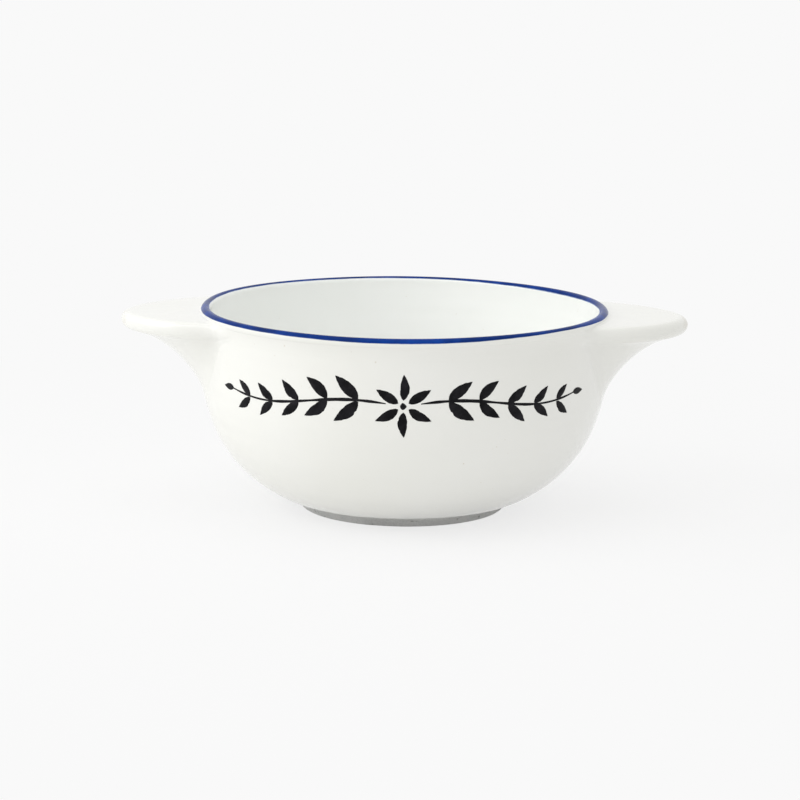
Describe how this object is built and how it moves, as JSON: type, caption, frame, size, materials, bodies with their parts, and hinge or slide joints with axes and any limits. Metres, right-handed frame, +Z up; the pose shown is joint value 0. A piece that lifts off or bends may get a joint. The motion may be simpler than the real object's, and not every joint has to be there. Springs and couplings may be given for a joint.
{
  "type": "lug bowl",
  "caption": "Round white-glazed earthenware bowl on a bare foot ring, with flat lugs at the rim, a blue rim line and a painted garland on the front.",
  "frame": {"origin": "centre of the foot ring, on the table plane", "axes": "+Z up the bowl's axis, +X through the middle of the right lug, the painted front faces -Y"},
  "size_m": [0.1818, 0.13, 0.065],
  "materials": {
    "clay_body": "fired clay, covered by the glaze",
    "bare_foot": "matte, unglazed grey foot",
    "joining_slip": "fired slip, hidden in the joint",
    "white_glaze": "glossy white glaze",
    "cobalt_line": "glossy hand-painted cobalt blue",
    "black_enamel": "painted black enamel, thin and a little raised"
  },
  "bodies": {
    "root": {"bowl_wall": "clay_body", "foot_ring": "bare_foot", "right_lug": "clay_body", "left_lug": "clay_body", "right_lug_slip": "joining_slip", "left_lug_slip": "joining_slip", "outer_glaze": "white_glaze", "inner_glaze": "white_glaze", "base_glaze": "white_glaze", "right_lug_glaze": "white_glaze", "left_lug_glaze": "white_glaze", "rim_band": "cobalt_line", "front_motif": "black_enamel"}
  },
  "joints": []
}
